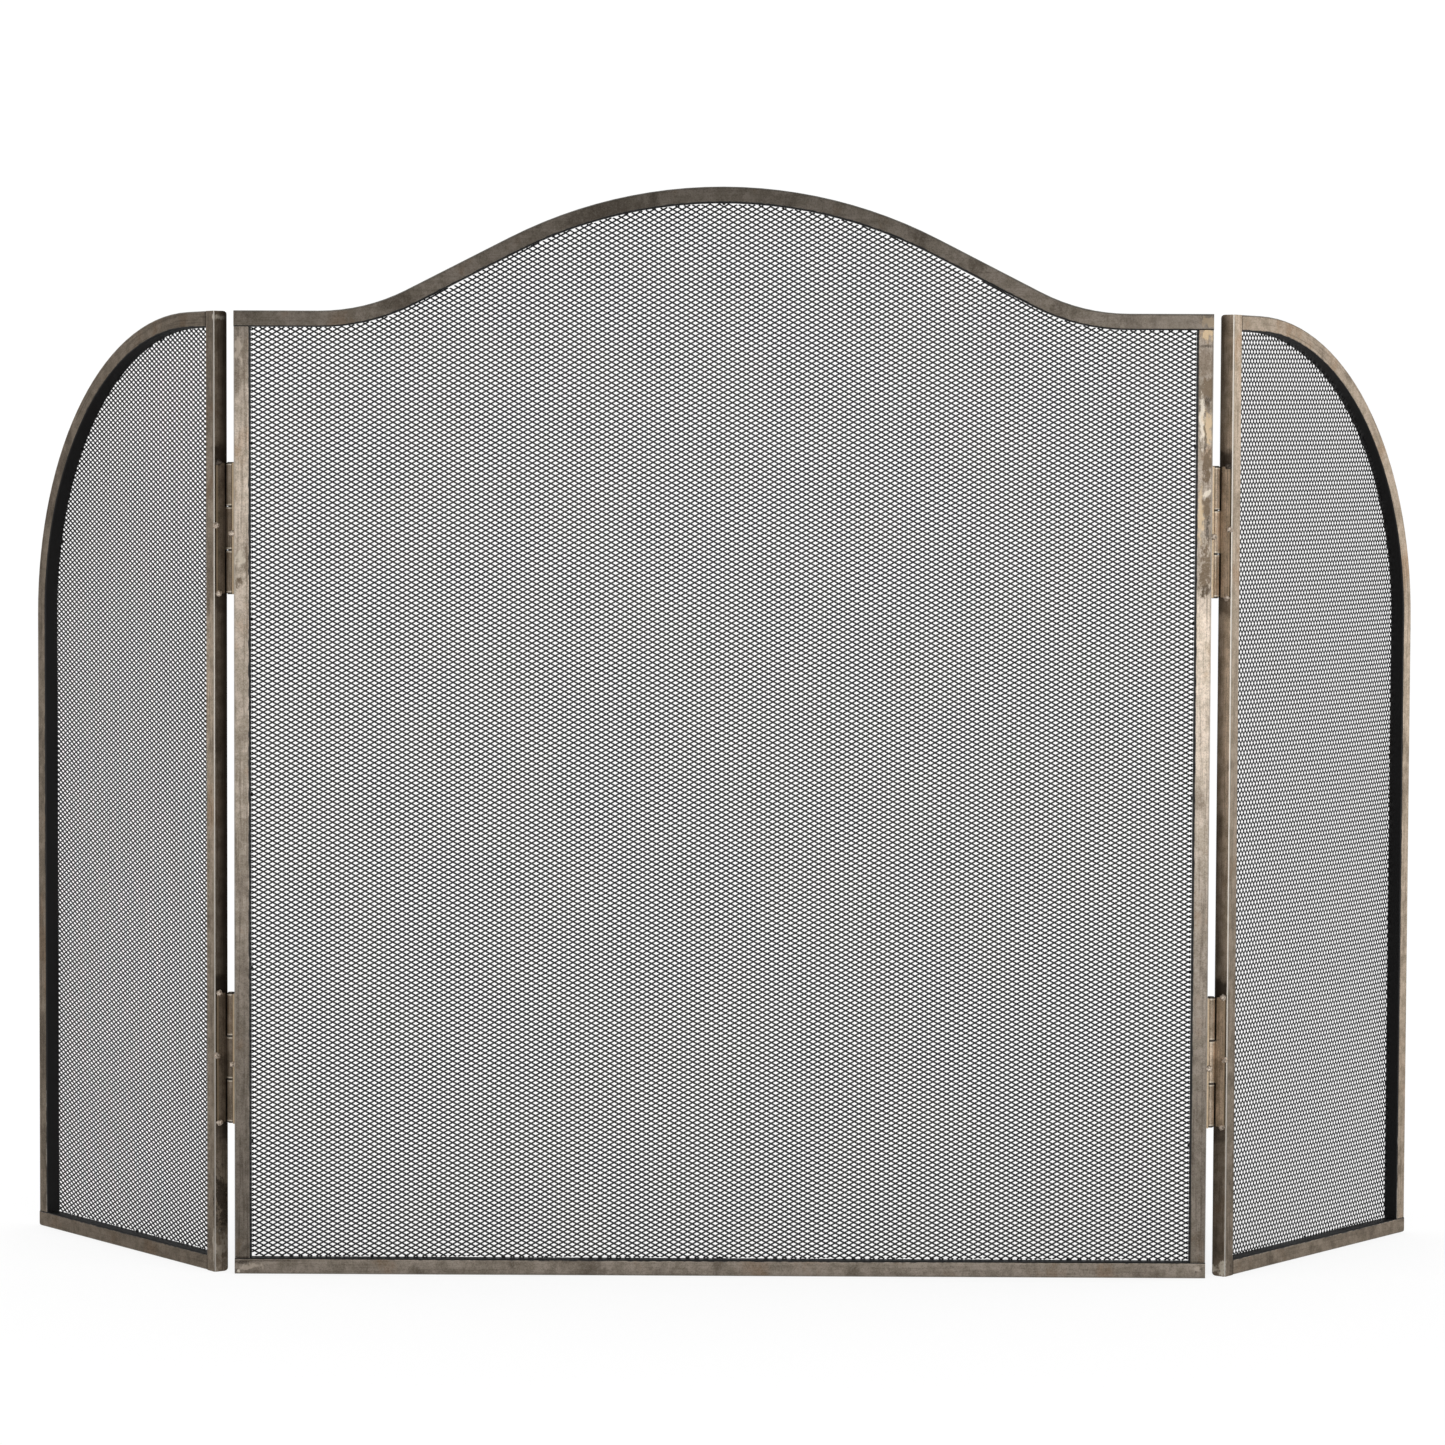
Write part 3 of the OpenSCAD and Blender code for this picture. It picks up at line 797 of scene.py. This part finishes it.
def islands(name):
    """The lowest and highest corners of each separate solid in a CAD node."""
    made = bmesh.new()
    made.from_mesh(frame["nodes"][name].data)
    bmesh.ops.remove_doubles(made, verts=made.verts, dist=SAME_POINT)
    left = set(made.verts)
    boxes = []
    while left:
        stack = [left.pop()]
        group = []
        while stack:
            vert = stack.pop()
            group.append(vert.co.copy())
            for edge in vert.link_edges:
                other = edge.other_vert(vert)
                if other in left:
                    left.remove(other)
                    stack.append(other)
        low = Vector(min(co[i] for co in group) for i in range(3))
        high = Vector(max(co[i] for co in group) for i in range(3))
        boxes.append((low, high))
    made.free()
    return sorted(boxes, key=lambda box: tuple(round(c, 4) for c in box[0]))


def weld_beads(cad_name, body, material):
    """Replaces a node of plain beads with lumpy ones in the same places, which stay inside the
    CAD's box."""
    made = bmesh.new()
    for low, high in islands(cad_name):
        centre = (low + high) / 2
        radius = max(high - low) / 2 * BEAD_GROWTH
        ball = bmesh.ops.create_icosphere(made, subdivisions=4, radius=1)
        for vert in ball["verts"]:
            way = vert.co.normalized()
            at = centre + way * radius
            lump = noise.fractal(at / LUMP_PITCH, *LUMP_NOISE)
            vert.co = centre + way * radius * (LUMP_BASE + LUMP_SIZE * lump)
            vert.co.y = max(vert.co.y, cad_low.y)
    for face in made.faces:
        face.smooth = True
    mesh = bpy.data.meshes.new(f"{cad_name}_beads")
    made.to_mesh(mesh)
    made.free()
    mesh.materials.append(material)
    piece = bpy.data.objects.new(f"{cad_name}_beads", mesh)
    bpy.context.scene.collection.objects.link(piece)
    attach(piece, body)
    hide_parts(cad_name)


weld = weld_finish("weld_finish")
weld_beads("centre_leaf_welds", "centre_panel", weld)
weld_beads("left_leaf_welds", "left_wing", weld)
weld_beads("right_leaf_welds", "right_wing", weld)

# ---- Expanded metal ----

LONG_PITCH = 5.83 * MM
SHORT_PITCH = 3.215 * MM
# Half the length and half the height of the joint where strands meet
JOINT_REACH = 1.05 * MM
JOINT_HEIGHT = 0.56 * MM
# Depth of a strand from front to back: the left wing's sheet looks finer than the others
STRAND_T = 0.30 * MM
LEFT_STRAND_T = 0.22 * MM
# How far a joint's upper corner leans back and its lower corner forward
STRAND_LEAN = 0.2 * MM
# Share of the way between two joints that lies within one of them
JOINT_SHARE = 0.14
# How far a cut strand runs on past the sheet's outline, to end against the tube, and the least
# share of its length that is left of it
STRAND_RUN_ON = 0.25 * MM
LEAST_STRAND = 0.02
# The lattice is laid out this much larger than the sheet, so that it covers it when turned
LATTICE_MARGIN = 1.4
# A piece holds at most this many joints, which keeps its STL within the exporter's limit
MOST_JOINTS = 9500
# Corners of a joint as shares of its reach and height: right, top, left and bottom
CORNERS = np.array([(1, 0), (0, 1), (-1, 0), (0, -1)], float)
# The four neighbours of a joint in columns and rows, by the corner that each strand leaves after
NEIGHBOURS = np.array([(1, 1), (-1, 1), (-1, -1), (1, -1)])


def sheet_outline(name, panel):
    """The CAD sheet's outline across and up its panel, and the middle of its thickness."""
    made = bmesh.new()
    made.from_mesh(frame["nodes"][name].data)
    made.transform(panel.place.inverted())
    bmesh.ops.remove_doubles(made, verts=made.verts, dist=SAME_POINT)
    bmesh.ops.dissolve_limit(made, angle_limit=0.001, verts=made.verts, edges=made.edges)
    face = max(made.faces, key=lambda f: f.calc_area())
    outline = np.array([(v.co.x, v.co.z) for v in face.verts])
    depths = [v.co.y for v in made.verts]
    made.free()
    return outline, (min(depths) + max(depths)) / 2


def inside(points, outline):
    """Which points lie inside the outline."""
    x, z = points[:, 0, None], points[:, 1, None]
    x0, z0 = outline.T
    x1, z1 = np.roll(outline, -1, axis=0).T
    with np.errstate(divide="ignore", invalid="ignore"):
        crosses = ((z0 > z) != (z1 > z)) & (x < (x1 - x0) * (z - z0) / (z1 - z0) + x0)
    return crosses.sum(axis=1) % 2 == 1


def way_to_outline(start, end, outline):
    """How far along each line from start, inside, to end, outside, the outline is crossed."""
    corner = outline[None]
    side = np.roll(outline, -1, axis=0)[None] - corner
    step = (end - start)[:, None]
    gap = corner - start[:, None]
    with np.errstate(divide="ignore", invalid="ignore"):
        cross = step[..., 0] * side[..., 1] - step[..., 1] * side[..., 0]
        along = (gap[..., 0] * side[..., 1] - gap[..., 1] * side[..., 0]) / cross
        at = (gap[..., 0] * step[..., 1] - gap[..., 1] * step[..., 0]) / cross
    along[(at < 0) | (at > 1) | (along < 0) | ~np.isfinite(along)] = 1
    return along.min(axis=1)


def joint_corners(u, v, lay, depth, thick):
    """The eight corners of each joint in the panel's frame: four in front, then four behind."""
    across = u[:, None] + CORNERS[:, 0] * JOINT_REACH
    up = v[:, None] + CORNERS[:, 1] * JOINT_HEIGHT
    x, z = lay(across, up)
    lean = CORNERS[:, 1] * STRAND_LEAN
    y = depth(x, z) + lean
    front = np.stack([x, y - thick / 2, z], axis=-1)
    back = np.stack([x, y + thick / 2, z], axis=-1)
    return np.concatenate([front, back], axis=1)


def quads(a, b, c, d):
    """Four-cornered faces from the numbers of their first, second, third and last corners."""
    return np.stack(np.broadcast_arrays(a, b, c, d), axis=-1).reshape(-1, 4)


def expanded_metal(cad_name, panel, lay, bow, thick, material):
    """Replaces a CAD sheet with real expanded metal. lay turns lattice distances into places
    across and up the panel, bow says how far the sheet stands forward there, and thick is how
    deep its strands are."""
    outline, middle = sheet_outline(cad_name, panel)

    def depth(x, z):
        return middle - bow(x, z)

    reach = np.abs(outline).max() * LATTICE_MARGIN
    last_column = int(reach / LONG_PITCH * 2)
    last_row = int(reach / SHORT_PITCH * 2)
    columns = np.arange(-last_column, last_column + 1)
    rows = np.arange(-last_row, last_row + 1)
    column, row = (a.ravel() for a in np.meshgrid(columns, rows))
    even = (column + row) % 2 == 0
    column, row = column[even], row[even]
    kept = inside(np.stack(lay(column * LONG_PITCH / 2, row * SHORT_PITCH / 2), axis=-1), outline)
    column, row = column[kept], row[kept]
    index = {key: i for i, key in enumerate(zip(column.tolist(), row.tolist()))}
    beyond = len(index)
    near = np.array(
        [
            [index.get((c + dc, r + dr), beyond) for dc, dr in NEIGHBOURS.tolist()]
            for c, r in zip(column.tolist(), row.tolist())
        ]
    )
    count = math.ceil(len(column) / MOST_JOINTS)
    for number, mine in enumerate(np.array_split(np.arange(len(column)), count)):
        points, faces = mesh_piece(column, row, near, mine, beyond, outline, lay, depth, thick)
        points = points @ np.array(panel.place.to_3x3()).T + np.array(panel.place.translation)
        piece = solid_object(f"{cad_name}_band_{number + 1}", points, faces, material)
        if panel.side < 0:
            piece.data.flip_normals()
        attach(piece, panel.body)
        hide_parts(cad_name)


def mesh_piece(column, row, near, mine, beyond, outline, lay, depth, thick):
    """Points and faces of the joints numbered in mine, with the strands that rise from them. near
    holds each joint's neighbours, which are numbered beyond where the sheet has none."""
    local = np.full(beyond + 1, -1)
    local[mine] = np.arange(len(mine))
    u = column[mine] * LONG_PITCH / 2
    v = row[mine] * SHORT_PITCH / 2
    corners = joint_corners(u, v, lay, depth, thick)
    points = [corners.reshape(-1, 3)]
    used = len(mine) * 8
    base = np.arange(len(mine)) * 8
    faces = [
        quads(base, base + 1, base + 2, base + 3),
        quads(base + 7, base + 6, base + 5, base + 4),
    ]
    centre = np.stack(lay(u, v), axis=-1)

    for way, (dc, dr) in enumerate(NEIGHBOURS):
        own = np.array([way, (way + 1) % 4])
        far = np.array([(way + 3) % 4, (way + 2) % 4])
        other = near[mine, way]
        outside = other == beyond
        here = local[other] >= 0
        rises = dr > 0

        # A strand to a joint in this piece ends on that joint's own corners
        if rises:
            a = base[here]
            b = local[other[here]] * 8
            faces.append(strand_faces([a + own[0], a + own[1]], [b + far[0], b + far[1]]))

        # Any other strand ends on corners of its own, cut short where it leaves the sheet
        loose = ~here & (outside | rises)
        a = base[loose]
        if len(a):
            there_u = (column[mine][loose] + dc) * LONG_PITCH / 2
            there_v = (row[mine][loose] + dr) * SHORT_PITCH / 2
            target = joint_corners(there_u, there_v, lay, depth, thick)
            end_centre = np.stack(lay(there_u, there_v), axis=-1)
            share = np.ones(len(a))
            cut = outside[loose]
            length = np.linalg.norm(end_centre - centre[loose], axis=1)
            reach = way_to_outline(centre[loose], end_centre, outline) + STRAND_RUN_ON / length
            left_over = (reach - JOINT_SHARE) / (1 - 2 * JOINT_SHARE)
            share[cut] = left_over.clip(LEAST_STRAND, 1)[cut]
            start_corners = corners[loose][:, [own[0], own[1], own[0] + 4, own[1] + 4]]
            end_corners = target[:, [far[0], far[1], far[0] + 4, far[1] + 4]]
            ends = start_corners + (end_corners - start_corners) * share[:, None, None]
            points.append(ends.reshape(-1, 3))
            b = used + np.arange(len(a)) * 4
            used += len(a) * 4
            faces.append(strand_faces([a + own[0], a + own[1]], [b, b + 1], far_step=2))
            faces.append(quads(b + 1, b, b + 2, b + 3))

        # A strand that another piece holds leaves this joint's side to be closed
        if not rises:
            a = base[~here & ~outside]
            faces.append(quads(a + own[1], a + own[0], a + own[0] + 4, a + own[1] + 4))
    return np.concatenate(points), np.concatenate(faces)


def strand_faces(near_pair, far_pair, far_step=4):
    """The four sides of a strand between two pairs of front corners. The corners behind them
    come 4 places later at the near end and far_step later at the far end."""
    c0, c1 = near_pair
    d0, d1 = far_pair
    return np.concatenate(
        [
            quads(c0, d0, d1, c1),
            quads(c1 + 4, d1 + far_step, d0 + far_step, c0 + 4),
            quads(d0, c0, c0 + 4, d0 + far_step),
            quads(c1, d1, d1 + far_step, c1 + 4),
        ]
    )


def solid_object(name, points, faces, material):
    """A smooth mesh object from arrays of points and of four-cornered faces."""
    mesh = bpy.data.meshes.new(name)
    mesh.vertices.add(len(points))
    mesh.vertices.foreach_set("co", points.astype(np.float32).ravel())
    mesh.loops.add(faces.size)
    mesh.loops.foreach_set("vertex_index", faces.astype(np.int32).ravel())
    mesh.polygons.add(len(faces))
    mesh.polygons.foreach_set("loop_start", np.arange(0, faces.size, 4, dtype=np.int32))
    mesh.polygons.foreach_set("use_smooth", np.ones(len(faces), bool))
    mesh.update(calc_edges=True)
    mesh.validate()
    mesh.materials.append(material)
    made = bpy.data.objects.new(name, mesh)
    bpy.context.scene.collection.objects.link(made)
    return made


ENAMEL = (0.009, 0.009, 0.012, 1)
ENAMEL_WORN = (0.018, 0.016, 0.014, 1)
ENAMEL_SPECK = (0.05, 0.045, 0.04, 1)


def mesh_enamel():
    """Black enamel that is a little browner and duller in patches, with paler specks."""
    material, tree = new_material("mesh_enamel")
    shader = tree.nodes["Principled BSDF"]
    point = node(tree, "TexCoord").outputs["Object"]
    patch = grain(tree, point, 22, detail=3, seed=51)
    speck = grain(tree, point, 900, detail=2, seed=53)
    base = mix(tree, rise(tree, patch, 0.40, 0.62), ENAMEL, ENAMEL_WORN)
    base = paint(tree, base, ENAMEL_SPECK, rise(tree, speck, 0.62, 0.74), 0.6)
    feed(tree, shader.inputs["Base Color"], base)
    feed(tree, shader.inputs["Roughness"], spread(tree, patch, 0.35, 0.60))
    return material


# How each sheet lies in its frame, as seen in front of it: how far its rows and columns lean, and
# on the centre how much the rows curve and how much more they lean low down
CENTRE_ROW_LEAN = math.radians(1.0)
CENTRE_ROW_CURVE = 0.013
CENTRE_LOW_LEAN = 0.035
CENTRE_EVEN_UP_TO = 0.6 * SHOULDER_H
LEFT_COLUMN_LEAN = math.radians(1.0)
LEFT_ROW_LEAN = math.radians(3.2)
RIGHT_STRETCH = 1.08
RIGHT_COLUMN_LEAN = math.radians(2.5)
RIGHT_ROW_LEAN = math.radians(1.2)
# How far the right sheet stands forward in its middle, and the size and the lengths across and up
# of the slow waves in the flat sheets
RIGHT_BOW = 4 * MM
WAVE_SIZE = 0.15 * MM
WAVE_ACROSS = 310 * MM
WAVE_UP = 270 * MM
WAVE_START = (1.1, 0.4)


def lay_centre(u, v):
    """Rows rise a little to the right, and more so low down and at the right."""
    below = CENTRE_EVEN_UP_TO - v
    return u, v + u * CENTRE_ROW_LEAN + u * u * CENTRE_ROW_CURVE + below * u * CENTRE_LOW_LEAN


def lay_left(u, v):
    """Rows fall towards the hinges."""
    return u - v * LEFT_COLUMN_LEAN, v + u * LEFT_ROW_LEAN


def lay_right(u, v):
    """The sheet is turned a quarter, and stretched across."""
    x = v * RIGHT_STRETCH + u * RIGHT_COLUMN_LEAN
    return x, x * RIGHT_ROW_LEAN - u


def bow_flat(x, z):
    """A slow wave over the sheet."""
    across = np.sin(x * 2 * math.pi / WAVE_ACROSS + WAVE_START[0])
    return WAVE_SIZE * across * np.sin(z * 2 * math.pi / WAVE_UP + WAVE_START[1])


def bow_right(x, z):
    """Stands forward most in the middle of the wing."""
    across = 4 * x * (WING_W - x) / WING_W**2
    up = np.clip(4 * z * (SHOULDER_H - z) / SHOULDER_H**2, 0, 1)
    return RIGHT_BOW * across.clip(0, 1) * np.sqrt(up)


enamel = mesh_enamel()
expanded_metal("centre_mesh", CENTRE, lay_centre, bow_flat, STRAND_T, enamel)
expanded_metal("left_mesh", LEFT, lay_left, bow_flat, LEFT_STRAND_T, enamel)
expanded_metal("right_mesh", RIGHT, lay_right, bow_right, STRAND_T, enamel)
dress(enamel, "centre_mesh_welds", "left_mesh_welds", "right_mesh_welds")

# ---- Camera, light and floor ----

CAMERA_AT = Vector((0.0155, -2.884, 0.4978))
# Focal length and sensor width in millimetres, as Blender takes them, and how far the camera sees
CAMERA_LENS = 114.6
CAMERA_SENSOR = 36
CAMERA_SEES_TO = 100
CAMERA_YAW, CAMERA_PITCH, CAMERA_ROLL = (math.radians(a) for a in (-0.3005, 2.946, 0.232))
# Brightness of the world, and of its dark parts and bright band in reflections
WHITE = 1.02
REFLECTED_DARK, REFLECTED_BRIGHT = 0.25, 0.60
# The bright band lies within these heights of the horizon, where the sky's top is 1
BAND = (0.02, 0.45)
# How much of the floor's brightness is its own, and how much of that is left in reflections
FLOOR_GLOW = 0.8
FLOOR_REFLECTED = 0.2
FLOOR_REACH = 20
# Soft lights: where each is, what it faces, its width and height, and its power in watts
Light = namedtuple("Light", "at target width height power")
KEY_LIGHT = Light((0.75, -4.5, 0.42), (0, 0, 0.42), 1.6, 0.5, 22)
SIDE_LIGHT = Light((3.2, 1.0, 0.5), (0.4, 0.1, 0.4), 1.0, 1.0, 6)


def make_camera():
    """Looks along +Y from in front of the centre panel, turned and tipped down a little."""
    data = bpy.data.cameras.new("camera")
    data.lens = CAMERA_LENS
    data.sensor_width = CAMERA_SENSOR
    data.clip_end = CAMERA_SEES_TO
    made = bpy.data.objects.new("camera", data)
    bpy.context.scene.collection.objects.link(made)
    forward = Vector(
        (
            math.sin(CAMERA_YAW) * math.cos(CAMERA_PITCH),
            math.cos(CAMERA_YAW) * math.cos(CAMERA_PITCH),
            -math.sin(CAMERA_PITCH),
        )
    )
    level = Vector((math.cos(CAMERA_YAW), -math.sin(CAMERA_YAW), 0))
    upright = level.cross(forward)
    right = level * math.cos(CAMERA_ROLL) + upright * math.sin(CAMERA_ROLL)
    top = upright * math.cos(CAMERA_ROLL) - level * math.sin(CAMERA_ROLL)
    turn = Matrix((right, top, -forward)).transposed()
    made.matrix_world = Matrix.Translation(CAMERA_AT) @ turn.to_4x4()
    bpy.context.scene.camera = made


def soft_light(name, light):
    """Adds one rectangular light."""
    data = bpy.data.lights.new(name, "AREA")
    data.shape = "RECTANGLE"
    data.size = light.width
    data.size_y = light.height
    data.energy = light.power
    made = bpy.data.objects.new(name, data)
    bpy.context.scene.collection.objects.link(made)
    made.location = light.at
    way = Vector(light.target) - Vector(light.at)
    made.rotation_euler = way.to_track_quat("-Z", "Y").to_euler()


def make_world():
    """White to look at, even for soft light, and dimmer with a bright band in reflections."""
    world = bpy.data.worlds.new("studio")
    bpy.context.scene.world = world
    world.use_nodes = True
    tree = world.node_tree
    ray = node(tree, "LightPath").outputs
    height = parts_of(tree, node(tree, "TexCoord").outputs["Generated"])[2]
    band = calc(tree, "SUBTRACT", 1.0, rise(tree, calc(tree, "ABSOLUTE", height), *BAND))
    seen = spread(tree, band, REFLECTED_DARK, REFLECTED_BRIGHT)
    strength = mix(tree, ray["Is Glossy Ray"], (WHITE, WHITE, WHITE, 1), seen)
    feed(tree, tree.nodes["Background"].inputs["Color"], strength)


def make_floor():
    """White and partly lit from within, as a light table is, which keeps its shadows soft. It is
    darker in reflections, as if the white ran only behind the screen."""
    material, tree = new_material("studio_floor")
    shader = tree.nodes["Principled BSDF"]
    ray = node(tree, "LightPath").outputs
    own = WHITE * FLOOR_GLOW
    glow = spread(tree, ray["Is Glossy Ray"], own, own * FLOOR_REFLECTED)
    feed(tree, shader.inputs["Emission Strength"], glow)
    shader.inputs["Emission Color"].default_value = (1, 1, 1, 1)
    painted = 1 - FLOOR_GLOW
    shader.inputs["Base Color"].default_value = (painted, painted, painted, 1)
    shader.inputs["Roughness"].default_value = 1
    shader.inputs["Specular IOR Level"].default_value = 0
    made = bmesh.new()
    bmesh.ops.create_grid(made, x_segments=1, y_segments=1, size=FLOOR_REACH)
    mesh = bpy.data.meshes.new("floor")
    made.to_mesh(mesh)
    made.free()
    mesh.materials.append(material)
    floor = bpy.data.objects.new("floor", mesh)
    bpy.context.scene.collection.objects.link(floor)


make_camera()
make_world()
make_floor()
soft_light("key", KEY_LIGHT)
soft_light("right_side", SIDE_LIGHT)
bpy.context.scene.view_settings.view_transform = "Standard"
